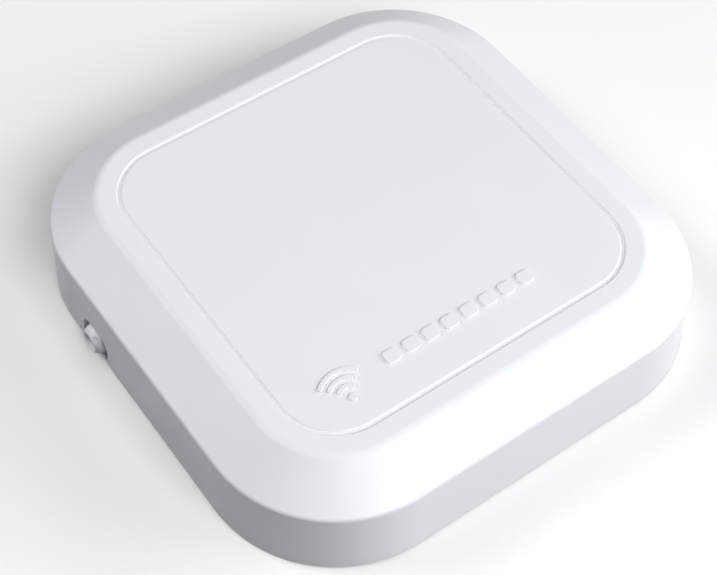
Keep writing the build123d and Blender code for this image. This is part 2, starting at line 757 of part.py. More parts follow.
for port, x in jack_places.items():
    with BuildPart() as shell:
        with BuildSketch(Plane.XZ.offset(-panel_y)):
            with Locations((x, board_top)):
                Rectangle(jack_width, jack_height, align=(Align.CENTER, Align.MIN))
            with Locations((x, board_top + jack_shell)):
                Rectangle(
                    jack_width - 2 * jack_shell,
                    jack_height - 2 * jack_shell,
                    align=(Align.CENTER, Align.MIN),
                    mode=Mode.SUBTRACT,
                )
        extrude(amount=jack_depth)
        with BuildSketch(Plane.XZ.offset(-(panel_y - jack_depth))):
            with Locations((x, board_top)):
                Rectangle(jack_width, jack_height, align=(Align.CENTER, Align.MIN))
        extrude(amount=-jack_shell)
    write(shell.part, f"{port}_jack_shell")

    with BuildPart() as insert:
        with BuildSketch(Plane.XZ.offset(-panel_y)):
            with Locations((x, board_top + jack_shell + jack_fit)):
                Rectangle(
                    insert_width,
                    jack_height - 2 * (jack_shell + jack_fit),
                    align=(Align.CENTER, Align.MIN),
                )
        extrude(amount=jack_depth - jack_shell - jack_fit)
        with BuildSketch(Plane.XZ.offset(-panel_y)):
            with Locations((x, mouth_z)):
                Rectangle(mouth_width, mouth_height, align=(Align.CENTER, Align.MIN))
            with Locations((x, mouth_z + mouth_height)):
                Rectangle(mouth_key_width, mouth_key_height, align=(Align.CENTER, Align.MIN))
        extrude(amount=mouth_depth, mode=Mode.SUBTRACT)
    write(insert.part, f"{port}_jack_insert")

    with BuildPart() as contacts:
        with BuildSketch(Plane.YZ.offset(x - contact_size / 2)):
            with BuildLine():
                Polyline(
                    (panel_y - contact_setback, mouth_z),
                    (panel_y - contact_setback - contact_size, mouth_z),
                    (panel_y - mouth_depth, mouth_z + contact_rise - contact_size),
                    (panel_y - mouth_depth, mouth_z + contact_rise),
                    close=True,
                )
            make_face()
        extrude(amount=contact_size)
    one_contact = contacts.part
    with BuildPart() as contact_row:
        with Locations(*[(k * contact_pitch, 0, 0) for k in range(contact_count)]):
            add(one_contact.moved(Location((-(contact_count - 1) / 2 * contact_pitch, 0, 0))))
    write(contact_row.part, f"{port}_jack_contacts")

# ================================================================ buttons, lights and their switches
switch_face_y = board_back - switch_setback
button_plane = Plane(origin=(pair_x, 0, button_z), x_dir=(-1, 0, 0), z_dir=(0, 1, 0))
flange_y = panel_inner_y - port_gap
stem_y = switch_face_y + pair_travel + port_gap

with BuildPart() as pair_cap:
    with BuildSketch(button_plane.offset(flange_y - pair_flange)):
        Circle(pair_flange_r)
    extrude(amount=pair_flange)
    with BuildSketch(button_plane.offset(flange_y)):
        Circle(pair_cap_r)
    extrude(amount=panel_y + pair_cap_proud - flange_y)
    fillet(pair_cap.edges().group_by(Axis.Y)[-1], radius=pair_cap_rounding)
    with BuildSketch(button_plane.offset(stem_y)):
        Circle(nib_r)
    extrude(amount=flange_y - pair_flange - stem_y)
write(pair_cap.part, "pair_cap")

with BuildPart() as pair_nib:
    with BuildSketch(button_plane.offset(switch_face_y - nib_sunk)):
        Circle(nib_r)
    extrude(amount=stem_y - switch_face_y + nib_sunk)
write(pair_nib.part, "pair_nib")

reset_plane = Plane(origin=(reset_x, 0, button_z), x_dir=(-1, 0, 0), z_dir=(0, 1, 0))
with BuildPart() as reset_nib:
    with BuildSketch(reset_plane.offset(switch_face_y - nib_sunk)):
        Circle(nib_r)
    extrude(amount=nib_sunk + reset_travel + port_gap)
write(reset_nib.part, "reset_nib")

for name, x, travel in (("pair_switch", pair_x, pair_travel), ("reset_switch", reset_x, reset_travel)):
    with BuildPart() as switch:
        with BuildSketch(Plane.XY.offset(board_top)):
            with Locations((x, switch_face_y)):
                Rectangle(switch_width, switch_depth, align=(Align.CENTER, Align.MAX))
        extrude(amount=switch_height)
        with BuildSketch(Plane.XZ.offset(-switch_face_y)):
            with Locations((x, button_z)):
                Circle(nib_bore_r)
        extrude(amount=nib_sunk + travel + port_gap, mode=Mode.SUBTRACT)
    write(switch.part, name)

led_y = board_back - led_setback
status_leds = block_on(board_top, led_height, *[(x, led_y) for x in led_places], size=(led_size, led_size))
write(status_leds, "status_leds")

pipe_z = board_top + led_lift
pipe_end_y = led_y - pipe_size / 2
with BuildPart() as light_pipe:
    with BuildSketch(Plane.XZ.offset(-panel_y)):
        with Locations(*[(x, pipe_z) for x in led_places]):
            Rectangle(pipe_size, pipe_size)
    extrude(amount=panel_y - pipe_end_y)
    mirror_edges = light_pipe.edges().filter_by(Axis.X).group_by(Axis.Y)[0].group_by(Axis.Z)[-1]
    chamfer(mirror_edges, pipe_mirror)
    with BuildSketch(Plane.XY.offset(pipe_z - pipe_size / 2)):
        with Locations(((led_places[0] + led_places[-1]) / 2, board_back)):
            Rectangle(led_places[0] - led_places[-1], pipe_bridge)
    extrude(amount=pipe_size)
write(light_pipe.part, "light_pipe")

# ================================================================ power inlet
collar_tip_x = -(half + collar_reach)
collar_floor_x = collar_tip_x + collar_dish_depth
socket_mouth_x = collar_floor_x + collar_lip
inlet_plane = Plane(origin=(0, inlet_y, inlet_z), x_dir=(0, 1, 0), z_dir=(1, 0, 0))

with BuildPart() as inlet_collar:
    with BuildSketch(inlet_plane.offset(collar_tip_x)):
        Circle(collar_r)
    extrude(amount=notch_panel_x - collar_tip_x)
    fillet(inlet_collar.edges().filter_by(GeomType.CIRCLE).group_by(Axis.X)[0], radius=collar_dome)
    with BuildSketch(inlet_plane.offset(collar_tip_x)):
        Circle(collar_dish_r)
    dish_lean = degrees(atan2(collar_dish_r - collar_lip_r, collar_dish_depth))
    extrude(amount=collar_dish_depth, taper=dish_lean, mode=Mode.SUBTRACT)
    with BuildSketch(inlet_plane.offset(collar_floor_x)):
        Circle(collar_lip_r)
    extrude(amount=collar_lip, mode=Mode.SUBTRACT)
    with BuildSketch(inlet_plane.offset(socket_mouth_x)):
        Circle(socket_barrel_r + socket_fit)
    extrude(amount=notch_panel_x - socket_mouth_x, mode=Mode.SUBTRACT)
write(inlet_collar.part, "inlet_collar")

with BuildPart() as inlet_socket:
    with BuildSketch(inlet_plane.offset(socket_mouth_x)):
        Circle(socket_barrel_r)
    extrude(amount=notch_panel_inner_x - socket_mouth_x)
    with BuildSketch(inlet_plane.offset(notch_panel_inner_x)):
        Rectangle(socket_body_width, socket_body_height)
    extrude(amount=socket_body_length)
    with BuildSketch(inlet_plane.offset(socket_mouth_x)):
        Circle(socket_bore_r)
    extrude(amount=socket_bore_depth, mode=Mode.SUBTRACT)
write(inlet_socket.part, "inlet_socket")

with BuildPart() as inlet_pin:
    with BuildSketch(inlet_plane.offset(socket_mouth_x + inlet_pin_sink)):
        Circle(inlet_pin_r)
    extrude(amount=socket_bore_depth - inlet_pin_sink)
    fillet(inlet_pin.edges().filter_by(GeomType.CIRCLE).group_by(Axis.X)[0], radius=inlet_pin_rounding)
write(inlet_pin.part, "inlet_pin")

socket_back_x = notch_panel_inner_x + socket_body_length
with BuildPart() as inlet_terminals:
    with BuildSketch(inlet_plane.offset(socket_back_x)):
        with GridLocations(terminal_spacing, 1, 2, 1):
            Rectangle(terminal_width, terminal_thickness)
    extrude(amount=terminal_length)
write(inlet_terminals.part, "inlet_terminals")

# ================================================================ leads inside the housing
def lead(route, radius, bend):
    """One lead of a given radius along a route of points, with rounded turns."""
    with BuildPart() as wire:
        with BuildLine() as path:
            FilletPolyline(*route, radius=bend)
        with BuildSketch(Plane(origin=path.line @ 0, z_dir=path.line % 0)):
            Circle(radius)
        sweep()
    return wire.part


header_x = -board_width / 2 + header_edge_gap + header_width / 2
header_y = inlet_y + header_offset
power_header = block_on(board_top, header_height, (header_x, header_y), size=(header_width, header_depth))
write(power_header, "power_header")

wire_start_x = socket_back_x + terminal_length
wire_end_z = board_top + header_height / 2
wires = []
for k in (-1, 1):
    start_y = inlet_y + k * terminal_spacing / 2
    end_y = header_y + k * terminal_spacing / 2
    route = [
        (wire_start_x, start_y, inlet_z),
        (wire_start_x + wire_run, start_y, inlet_z),
        (wire_start_x + wire_run + wire_climb, end_y, wire_end_z),
        (header_x - header_width / 2, end_y, wire_end_z),
    ]
    wires.append(lead(route, wire_r, wire_bend))
with BuildPart() as power_lead:
    add(wires)
write(power_lead.part, "power_lead")

# ================================================================ antennas
for name, (x, y, turn) in antenna_places.items():
    with BuildPart() as antenna:
        with BuildSketch(Plane.XY.offset(pan_top_z)):
            with Locations(Location((x, y, 0), (0, 0, turn))):
                Rectangle(antenna_length, antenna_board)
        extrude(amount=antenna_height)
    write(antenna.part, name)

antenna_face = antenna_board / 2
front_y = -(half - antenna_inset) + antenna_face
side_x = half - antenna_inset - antenna_face
front_plug_y = board_front + plug_from_front
front_tail_y = front_plug_y - plug_tail
side_tail_x = side_plug_x + plug_tail
front_plugs = [(sx * front_plug_x, front_plug_y) for sx in (-1, 1)]
side_plugs = [(sx * side_plug_x, side_plug_y) for sx in (-1, 1)]

for word, sx in {"left": -1, "right": 1}.items():
    front_route = [
        (sx * front_antenna_x, front_y, lead_z),
        (sx * front_antenna_x, (front_y + front_tail_y) / 2 - lead_step, lead_z),
        (sx * front_plug_x, (front_y + front_tail_y) / 2 + lead_step, lead_z),
        (sx * front_plug_x, front_tail_y, lead_z),
    ]
    side_route = [
        (sx * side_x, side_antenna_y, lead_z),
        (sx * ((side_x + side_tail_x) / 2 + lead_step), side_antenna_y, lead_z),
        (sx * ((side_x + side_tail_x) / 2 - lead_step), side_plug_y, lead_z),
        (sx * side_tail_x, side_plug_y, lead_z),
    ]
    write(lead(front_route, lead_r, lead_bend), f"front_{word}_lead")
    write(lead(side_route, lead_r, lead_bend), f"side_{word}_lead")

with BuildPart() as lead_plugs:
    with BuildSketch(Plane.XY.offset(board_top)):
        with Locations(*front_plugs, *side_plugs):
            Circle(plug_r)
        with Locations(*front_plugs):
            Rectangle(plug_tail_width, plug_tail, align=(Align.CENTER, Align.MAX))
        with Locations(side_plugs[0]):
            Rectangle(plug_tail, plug_tail_width, align=(Align.MAX, Align.CENTER))
        with Locations(side_plugs[1]):
            Rectangle(plug_tail, plug_tail_width, align=(Align.MIN, Align.CENTER))
    extrude(amount=plug_height)
write(lead_plugs.part, "lead_plugs")
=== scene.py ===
# %% [markdown]
# A ceiling access point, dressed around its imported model
#
# The frame holds every piece of the access point at its real size and place, in metres: the ceiling
# plane is z = 0 and the face looks up. This lesson gives the pieces the looks of the real thing. The
# shell, the bracket, the jacks and the buttons are modelled afresh with soft edges, and every other
# piece keeps its shape and gets a finish made of nodes.

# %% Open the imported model
import json
import math

import bmesh
import bpy
from mathutils import Matrix, Vector

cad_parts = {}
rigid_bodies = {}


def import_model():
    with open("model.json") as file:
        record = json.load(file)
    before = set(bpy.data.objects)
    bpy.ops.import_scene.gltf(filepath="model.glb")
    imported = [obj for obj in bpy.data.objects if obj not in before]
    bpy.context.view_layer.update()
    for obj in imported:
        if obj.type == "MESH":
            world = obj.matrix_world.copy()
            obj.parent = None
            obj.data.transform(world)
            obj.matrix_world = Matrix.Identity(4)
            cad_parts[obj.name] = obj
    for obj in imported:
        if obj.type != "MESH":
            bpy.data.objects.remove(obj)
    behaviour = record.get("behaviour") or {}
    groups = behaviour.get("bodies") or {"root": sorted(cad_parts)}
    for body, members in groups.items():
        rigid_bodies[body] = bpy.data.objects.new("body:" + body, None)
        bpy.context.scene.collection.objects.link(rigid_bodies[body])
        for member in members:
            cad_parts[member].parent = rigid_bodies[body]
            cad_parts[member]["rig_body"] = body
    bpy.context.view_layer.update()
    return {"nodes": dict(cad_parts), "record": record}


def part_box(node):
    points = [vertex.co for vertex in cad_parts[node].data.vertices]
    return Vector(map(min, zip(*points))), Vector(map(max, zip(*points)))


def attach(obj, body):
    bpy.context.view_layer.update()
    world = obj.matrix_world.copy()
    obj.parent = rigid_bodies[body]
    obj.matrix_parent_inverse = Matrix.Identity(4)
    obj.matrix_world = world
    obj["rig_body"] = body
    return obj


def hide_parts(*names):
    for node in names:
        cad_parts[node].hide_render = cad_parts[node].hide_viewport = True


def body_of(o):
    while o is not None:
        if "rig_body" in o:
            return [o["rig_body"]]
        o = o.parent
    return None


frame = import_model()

MM = 0.001
nodes = frame["nodes"]

# %% [markdown]
# The camera looks down on the corner between the power inlet's wall and the symbol's edge, from a
# little over half a metre. A longish lens keeps the square from splaying. The three directions of
# the camera are worked out first, because a matrix made of them can't tip over the way that three
# angles can.

# %% Camera
AIM = Vector((-3.2, 0.5, 0)) * MM
CAMERA_TURN = math.radians(-36.7)
CAMERA_RISE = math.radians(54.0)
CAMERA_ROLL = math.radians(1.5)
CAMERA_DISTANCE = 581.5 * MM

toward = Vector((
    math.sin(CAMERA_TURN) * math.cos(CAMERA_RISE),
    -math.cos(CAMERA_TURN) * math.cos(CAMERA_RISE),
    math.sin(CAMERA_RISE),
))
level = Vector((math.cos(CAMERA_TURN), math.sin(CAMERA_TURN), 0))
upright = toward.cross(level)
right = math.cos(CAMERA_ROLL) * level + math.sin(CAMERA_ROLL) * upright
up = toward.cross(right)

bpy.ops.object.camera_add()
camera = bpy.context.object
camera.name = "camera"
camera.matrix_world = Matrix((right, up, toward)).transposed().to_4x4()
camera.location = AIM + CAMERA_DISTANCE * toward
camera.data.sensor_width = 36
camera.data.lens = 80.1
camera.data.clip_start = 0.01
bpy.context.scene.camera = camera
print("camera at", [round(v, 3) for v in camera.location])

# %% [markdown]
# A few helpers stand in for the hand and the mouse. Working by hand, one clears the selection, adds
# a primitive, opens it, picks some faces or edges and runs a tool on them. In code the picking is
# done by a test on each face or edge: where its middle lies, or which way it looks.

# %% Starting a piece
def clear_selection():
    """Nothing selected, nothing open."""
    if bpy.context.object and bpy.context.object.mode != "OBJECT":
        bpy.ops.object.mode_set(mode="OBJECT")
    bpy.ops.object.select_all(action="DESELECT")


def make_active(piece):
    """This piece alone is selected, for the next tool."""
    clear_selection()
    piece.select_set(True)
    bpy.context.view_layer.objects.active = piece


def open_piece(piece, kind="FACE"):
    """Into edit mode, picking vertices, edges or faces, with nothing picked."""
    make_active(piece)
    bpy.ops.object.mode_set(mode="EDIT")
    bpy.ops.mesh.select_mode(type=kind)
    bpy.ops.mesh.select_all(action="DESELECT")


def close_piece():
    bpy.ops.object.mode_set(mode="OBJECT")


def pick(kind, test):
    """Picks the open piece's verts, edges or faces that pass the test, and says how many."""
    mesh = bpy.context.edit_object.data
    shape = bmesh.from_edit_mesh(mesh)
    bpy.ops.mesh.select_all(action="DESELECT")
    found = 0
    for item in getattr(shape, kind):
        if test(item):
            item.select_set(True)
            found += 1
    shape.select_flush_mode()
    bmesh.update_edit_mesh(mesh)
    return found


def middle(edge):
    return (edge.verts[0].co + edge.verts[1].co) / 2


def level_edge(z):
    """A test for edges that lie at one height."""
    return lambda e: all(abs(v.co.z - z) < 0.02 * MM for v in e.verts)


def fold(edge):
    """How far the two faces beside an edge turn from each other."""
    return edge.calc_face_angle(0) if len(edge.link_faces) == 2 else 0


# %% [markdown]
# Finishing is the same for every piece. Its place goes into its mesh, so that the object itself
# stays at the origin and patterns that read object coordinates stay still. Doubles are merged,
# faces are turned outwards, and soft shading stops at the sharp edges.

# %% Finishing a piece
SMOOTH_ANGLE = math.radians(30)
MERGE_GAP = 0.002 * MM
MOST_CORNERS = 4


def apply_modifier(piece, kind, **settings):
    """Adds a modifier, sets it and applies it at once."""
    make_active(piece)
    modifier = piece.modifiers.new(kind.lower(), kind)
    for key, value in settings.items():
        setattr(modifier, key, value)
    bpy.ops.object.modifier_apply(modifier=modifier.name)


def open_edges(piece):
    """How many edges don't have exactly two faces."""
    shape = bmesh.new()
    shape.from_mesh(piece.data)
    found = sum(1 for e in shape.edges if len(e.link_faces) != 2)
    shape.free()
    return found


def cut(piece, cutter, operation="DIFFERENCE"):
    """Cuts one solid from another, or joins it on, and takes the tool away."""
    settle(cutter)
    settle(piece)
    apply_modifier(piece, "BOOLEAN", operation=operation, object=cutter, solver="EXACT")
    bpy.data.objects.remove(cutter, do_unlink=True)
    print("cut", piece.name, "open edges", open_edges(piece), "faces", len(piece.data.polygons))


def settle(piece):
    """Puts the object's place, turn and scale into its mesh."""
    make_active(piece)
    bpy.ops.object.transform_apply(location=True, rotation=True, scale=True)


def soften(piece):
    """Faces of many corners become triangles, then smooth shading up to an angle, flats kept flat."""
    apply_modifier(piece, "TRIANGULATE", min_vertices=MOST_CORNERS + 1)
    bpy.ops.object.shade_smooth_by_angle(angle=SMOOTH_ANGLE)
    apply_modifier(piece, "WEIGHTED_NORMAL", keep_sharp=True, weight=80)


def clean(piece):
    """Merges doubles and turns every face outwards."""
    open_piece(piece, "VERT")
    bpy.ops.mesh.select_all(action="SELECT")
    bpy.ops.mesh.remove_doubles(threshold=MERGE_GAP)
    bpy.ops.mesh.normals_make_consistent(inside=False)
    close_piece()


def finish_piece(piece, name, body, slot, *stands_for):
    """Names the piece and says what it rides on, what it is made of and which nodes it stands for."""
    settle(piece)
    piece.name = name
    piece.data.name = name
    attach(piece, body)
    slot_of[name] = slot
    if stands_for:
        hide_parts(*stands_for)
    modelled[name] = piece
    sides = [round(v / MM, 1) for v in piece.dimensions]
    print(name, "faces", len(piece.data.polygons), "size", sides)


modelled = {}
slot_of = {}


# %% [markdown]
# The front shell is one injection moulding: a drafted wall, a crisp shoulder, a slope, and a flat
# face with a fine groove that follows the outline. It could be lofted from curves, but a plate that
# is inset again and again keeps every level concentric, the way the mould was cut. The plate starts
# at the rim, gets its round corners from a vertex bevel, and each inset carries its middle up to the
# next level.

# %% Levels of the shell
SIDE = 190 * MM
CORNER = 48 * MM
RIM = 0.5 * MM
SHOULDER = 29.2 * MM
FACE = 40 * MM
DRAFT = 1.3 * MM
SLOPE = 18.5 * MM
WALL = 2.2 * MM
GROOVE_OUT = 25.8 * MM
GROOVE_LEAN = 0.35 * MM
GROOVE_FLOOR = 1.1 * MM
GROOVE_DEPTH = 0.6 * MM
HALF = SIDE / 2
STRAIGHT = HALF - CORNER


def step_in(inward, upward):
    """Carries the picked face inwards and upwards, leaving a band of faces behind."""
    bpy.ops.mesh.inset(thickness=inward, depth=upward, use_even_offset=True)


clear_selection()
bpy.ops.mesh.primitive_plane_add(size=SIDE, location=(0, 0, RIM))
shell = bpy.context.object
settle(shell)
open_piece(shell, "VERT")
bpy.ops.mesh.select_all(action="SELECT")
bpy.ops.mesh.bevel(offset=CORNER, segments=28, affect="VERTICES")
bpy.ops.mesh.select_mode(type="FACE")
bpy.ops.mesh.select_all(action="SELECT")
step_in(DRAFT, SHOULDER - RIM)
step_in(SLOPE - DRAFT, FACE - SHOULDER)
step_in(GROOVE_OUT - SLOPE, 0)
step_in(GROOVE_LEAN, -GROOVE_DEPTH)
step_in(GROOVE_FLOOR, 0)
step_in(GROOVE_LEAN, GROOVE_DEPTH)
close_piece()
print("levels", sorted({round(v.co.z / MM, 2) for v in shell.data.vertices}))

# %% [markdown]
# Every edge of a moulding is rounded, and the eye reads the shape from the highlights there. A
# bevel's offset is how far the new edges lie from the old one, so a rounding of radius r on an edge
# that turns by an angle needs an offset of r times the tangent of half that angle.

# %% Rounded edges of the shell
SHOULDER_ROUND = 1.6 * MM
FACE_ROUND = 5.0 * MM
GROOVE_ROUND = 0.35 * MM
GROOVE_FOOT_ROUND = 0.3 * MM


def round_edges(radius, test, segments):
    """Rounds the edges that pass a test, each by its own fold."""
    shape = bmesh.from_edit_mesh(bpy.context.edit_object.data)
    folds = [fold(e) for e in shape.edges if test(e)]
    turn = sum(folds) / len(folds)
    found = pick("edges", test)
    bpy.ops.mesh.bevel(offset=radius * math.tan(turn / 2), segments=segments, affect="EDGES", profile=0.5)
    return found, round(math.degrees(turn), 1)


def face_edge_near(inset):
    """A test for the face's level edges whose straight stretches lie at one inset."""
    reach = HALF - inset - STRAIGHT

    def test(edge):
        past_straight = Vector((
            max(abs(middle(edge).x) - STRAIGHT, 0),
            max(abs(middle(edge).y) - STRAIGHT, 0),
        ))
        return level_edge(FACE)(edge) and abs(past_straight.length - reach) < 0.12 * MM

    return test


open_piece(shell, "EDGE")
print("shoulder", round_edges(SHOULDER_ROUND, level_edge(SHOULDER), 6))
print("groove floor", round_edges(GROOVE_FOOT_ROUND, level_edge(FACE - GROOVE_DEPTH), 2))
print("groove outer", round_edges(GROOVE_ROUND, face_edge_near(GROOVE_OUT), 3))
groove_in = GROOVE_OUT + GROOVE_FLOOR + 2 * GROOVE_LEAN
print("groove inner", round_edges(GROOVE_ROUND, face_edge_near(groove_in), 3))
print("face", round_edges(FACE_ROUND, face_edge_near(SLOPE), 7))
close_piece()
apply_modifier(shell, "SOLIDIFY", thickness=WALL, offset=-1, use_even_offset=True)
for corner in shell.data.vertices:
    corner.co.z = max(corner.co.z, RIM)

# %% [markdown]
# The arch for the power inlet is cut with a block whose top corners are rounded. Real moulds flare
# the foot of such an arch, so after the cut the two corners that it leaves at the rim are rounded
# with a bigger radius than the rest. The wide opening for the port panel is cut the same way.

# %% Openings in the walls
INLET_Y = 30.8 * MM
INLET_Z = 7.1 * MM
ARCH_HALF = 8.2 * MM
ARCH_TOP = 13.2 * MM
ARCH_CORNER = 5.5 * MM
ARCH_FLARE = 2.0 * MM
ARCH_DEPTH = 4.6 * MM
PORT_HALF = 52.25 * MM
PORT_TOP = 27.0 * MM
PORT_DEPTH = 3.9 * MM
BELOW = 5 * MM


def block(low, high):
    """A box between two corners."""
    clear_selection()
    low, high = Vector(low), Vector(high)
    bpy.ops.mesh.primitive_cube_add(size=1, location=(low + high) / 2)
    piece = bpy.context.object
    piece.scale = high - low
    settle(piece)
    return piece


def runs_along(edge, axis):
    """Whether an edge runs along one of the axes."""
    way = (edge.verts[1].co - edge.verts[0].co).normalized()
    return abs(way[axis]) > 0.999


arch = block(
    (-HALF - BELOW, INLET_Y - ARCH_HALF, -BELOW), (-HALF + ARCH_DEPTH, INLET_Y + ARCH_HALF, ARCH_TOP)
)
open_piece(arch, "EDGE")
print("arch corners", pick("edges", lambda e: runs_along(e, 0) and middle(e).z > ARCH_TOP - MM))
bpy.ops.mesh.bevel(offset=ARCH_CORNER, segments=8, affect="EDGES")
close_piece()
cut(shell, arch)
cut(shell, block((-PORT_HALF, HALF - PORT_DEPTH, -BELOW), (PORT_HALF, HALF + BELOW, PORT_TOP)))
open_piece(shell, "EDGE")
flared = pick("edges", lambda e: (
    abs(abs(middle(e).y - INLET_Y) - ARCH_HALF) < 0.1 * MM
    and middle(e).x < -85 * MM
    and level_edge(RIM)(e)
))
bpy.ops.mesh.bevel(offset=ARCH_FLARE, segments=6, affect="EDGES")
print("flared corners", flared)
close_piece()

# %% [markdown]
# The raised symbol is a signal fan of three arcs and a dot, with a row of plain bars beside it. One
# bar is a block with rounded corners and a softened top, copied along the row. An arc is one small
# rectangle spun a quarter turn round the dot. They are joined to the face as one moulding, so that
# light runs into the corner where they meet it.

# %% Raised bars
RELIEF = 0.6 * MM
SUNK = 0.4 * MM
RELIEF_EDGE = 0.2 * MM
BAR_Y = -51.2 * MM
BAR_PITCH = 7.9 * MM
BAR_COUNT = 8
BAR_HALF = Vector((2.8, 2.5)) * MM
BAR_CORNER = 1.2 * MM


def soften_top(piece, z):
    """Rounds the top outline of a raised shape."""
    open_piece(piece, "EDGE")
    pick("edges", lambda e: level_edge(z)(e) and fold(e) > math.radians(60))
    bpy.ops.mesh.bevel(offset=RELIEF_EDGE, segments=2, affect="EDGES", clamp_overlap=True)
    close_piece()


def copy_of(piece, shift):
    """A copy with its own mesh, moved by a vector."""
    twin = piece.copy()
    twin.data = piece.data.copy()
    bpy.context.collection.objects.link(twin)
    twin.location = shift
    settle(twin)
    return twin


def joined(pieces):
    """Several objects made one."""
    clear_selection()
    for piece in pieces:
        piece.select_set(True)
    bpy.context.view_layer.objects.active = pieces[0]
    bpy.ops.object.join()
    return pieces[0]


first_x = -(BAR_COUNT - 1) / 2 * BAR_PITCH
bar = block(
    (first_x - BAR_HALF.x, BAR_Y - BAR_HALF.y, FACE - SUNK),
    (first_x + BAR_HALF.x, BAR_Y + BAR_HALF.y, FACE + RELIEF),
)
open_piece(bar, "EDGE")
pick("edges", lambda e: runs_along(e, 2))
bpy.ops.mesh.bevel(offset=BAR_CORNER, segments=5, affect="EDGES")
close_piece()
soften_top(bar, FACE + RELIEF)
raised = [bar] + [copy_of(bar, (k * BAR_PITCH, 0, 0)) for k in range(1, BAR_COUNT)]
print("bars", len(raised))

# %% Signal fan
FAN = Vector((-47.0, -57.0)) * MM
FAN_DOT = 1.5 * MM
FAN_RADII = (4.6 * MM, 7.8 * MM, 11.0 * MM)
FAN_HALF_WIDTH = 0.8 * MM


def spun_arc(radius):
    """A quarter ring with square ends, a small upright face carried round the dot; the caller rounds the
    ends.
    """
    clear_selection()
    bpy.ops.mesh.primitive_plane_add(size=1)
    piece = bpy.context.object
    piece.matrix_world = (
        Matrix.Translation((FAN.x, FAN.y, FACE + (RELIEF - SUNK) / 2))
        @ Matrix.Rotation(math.radians(45), 4, "Z")
        @ Matrix.Translation((radius, 0, 0))
        @ Matrix.Rotation(math.radians(90), 4, "X")
        @ Matrix.Diagonal((2 * FAN_HALF_WIDTH, RELIEF + SUNK, 1, 1))
    )
    settle(piece)
    open_piece(piece, "FACE")
    bpy.ops.mesh.select_all(action="SELECT")
    bpy.ops.mesh.spin(steps=14, angle=math.radians(-90), center=(FAN.x, FAN.y, 0), axis=(0, 0, 1))
    close_piece()
    clean(piece)
    return piece


for radius in FAN_RADII:
    arc = spun_arc(radius)
    angles = [math.degrees(math.atan2(v.co.y - FAN.y, v.co.x - FAN.x)) for v in arc.data.vertices]
    print("arc", round(radius / MM, 1), "from", round(min(angles)), "to", round(max(angles)))
    open_piece(arc, "EDGE")
    ends = (min(angles), max(angles))
    pick("edges", lambda e: runs_along(e, 2) and min(
        abs(math.degrees(math.atan2(middle(e).y - FAN.y, middle(e).x - FAN.x)) - a) for a in ends
    ) < 0.5)
    bpy.ops.mesh.bevel(offset=FAN_HALF_WIDTH * 0.75, segments=4, affect="EDGES")
    close_piece()
    soften_top(arc, FACE + RELIEF)
    raised.append(arc)

clear_selection()
bpy.ops.mesh.primitive_cylinder_add(
    vertices=32, radius=FAN_DOT, depth=RELIEF + SUNK, location=(FAN.x, FAN.y, FACE + (RELIEF - SUNK) / 2)
)
dot = bpy.context.object
settle(dot)
soften_top(dot, FACE + RELIEF)
raised.append(dot)
print("raised shapes", len(raised), "open edges", [open_edges(shape) for shape in raised])
cut(shell, joined(raised), "UNION")

# %% [markdown]
# Inside, four hollow posts hang from the roof at the corners and take the screws that close the
# housing. Ribs tie each post to the shell, as a moulder would add them so that a thin post doesn't
# snap off. They can't be seen from outside, but the shell is a real piece and has them.

# %% Screw posts and their ribs
POST_PLACE = 70 * MM
POST_LOW = 5.4 * MM
POST_HIGH = 38.6 * MM
POST_R = 4 * MM
PILOT_R = 1.5 * MM
PILOT_DEPTH = 10 * MM
RIB_LOW = 20 * MM
RIB_HALF = 6.5 * MM
RIB_HALF_THICK = 0.6 * MM
SLOPE_ANGLE = math.atan2(FACE - SHOULDER, SLOPE - DRAFT)


def rod(radius, low, high, segments=32):
    """A cylinder between two points."""
    low, high = Vector(low), Vector(high)
    clear_selection()
    bpy.ops.mesh.primitive_cylinder_add(
        vertices=segments, radius=radius, depth=(high - low).length, location=(low + high) / 2
    )
    piece = bpy.context.object
    piece.rotation_euler = (high - low).to_track_quat("Z", "Y").to_euler()
    settle(piece)
    return piece


def trim_under_slope(piece, sx, sy):
    """Cuts a post or rib off inside the thickness of the sloping corner above it."""
    inset = CORNER - math.hypot(POST_PLACE - HALF + CORNER, POST_PLACE - HALF + CORNER)
    surface = SHOULDER + (inset - DRAFT) * math.tan(SLOPE_ANGLE)
    slant = math.sin(SLOPE_ANGLE) / math.sqrt(2)
    open_piece(piece, "FACE")
    bpy.ops.mesh.select_all(action="SELECT")
    bpy.ops.mesh.bisect(
        plane_co=(sx * POST_PLACE, sy * POST_PLACE, surface - WALL / 2 / math.cos(SLOPE_ANGLE)),
        plane_no=(sx * slant, sy * slant, math.cos(SLOPE_ANGLE)),
        use_fill=True, clear_outer=True,
    )
    close_piece()
    return piece


for sx in (-1, 1):
    for sy in (-1, 1):
        x, y = sx * POST_PLACE, sy * POST_PLACE
        post = rod(POST_R, (x, y, POST_LOW), (x, y, POST_HIGH))
        cut(shell, trim_under_slope(post, sx, sy), "UNION")
        for along in (Vector((1, 0, 0)), Vector((0, 1, 0))):
            mid = Vector((x, y, 0)) - Vector((sx, sy, 0)) * MM
            reach = along * RIB_HALF + (Vector((1, 1, 0)) - along) * RIB_HALF_THICK
            rib = block(mid - reach + Vector((0, 0, RIB_LOW)), mid + reach + Vector((0, 0, POST_HIGH)))
            cut(shell, trim_under_slope(rib, sx, sy), "UNION")
        cut(shell, rod(PILOT_R, (x, y, POST_LOW - MM), (x, y, POST_LOW + PILOT_DEPTH)))
print("shell faces", len(shell.data.polygons))

# %% Shell finished
RIM_ROUND = 0.25 * MM

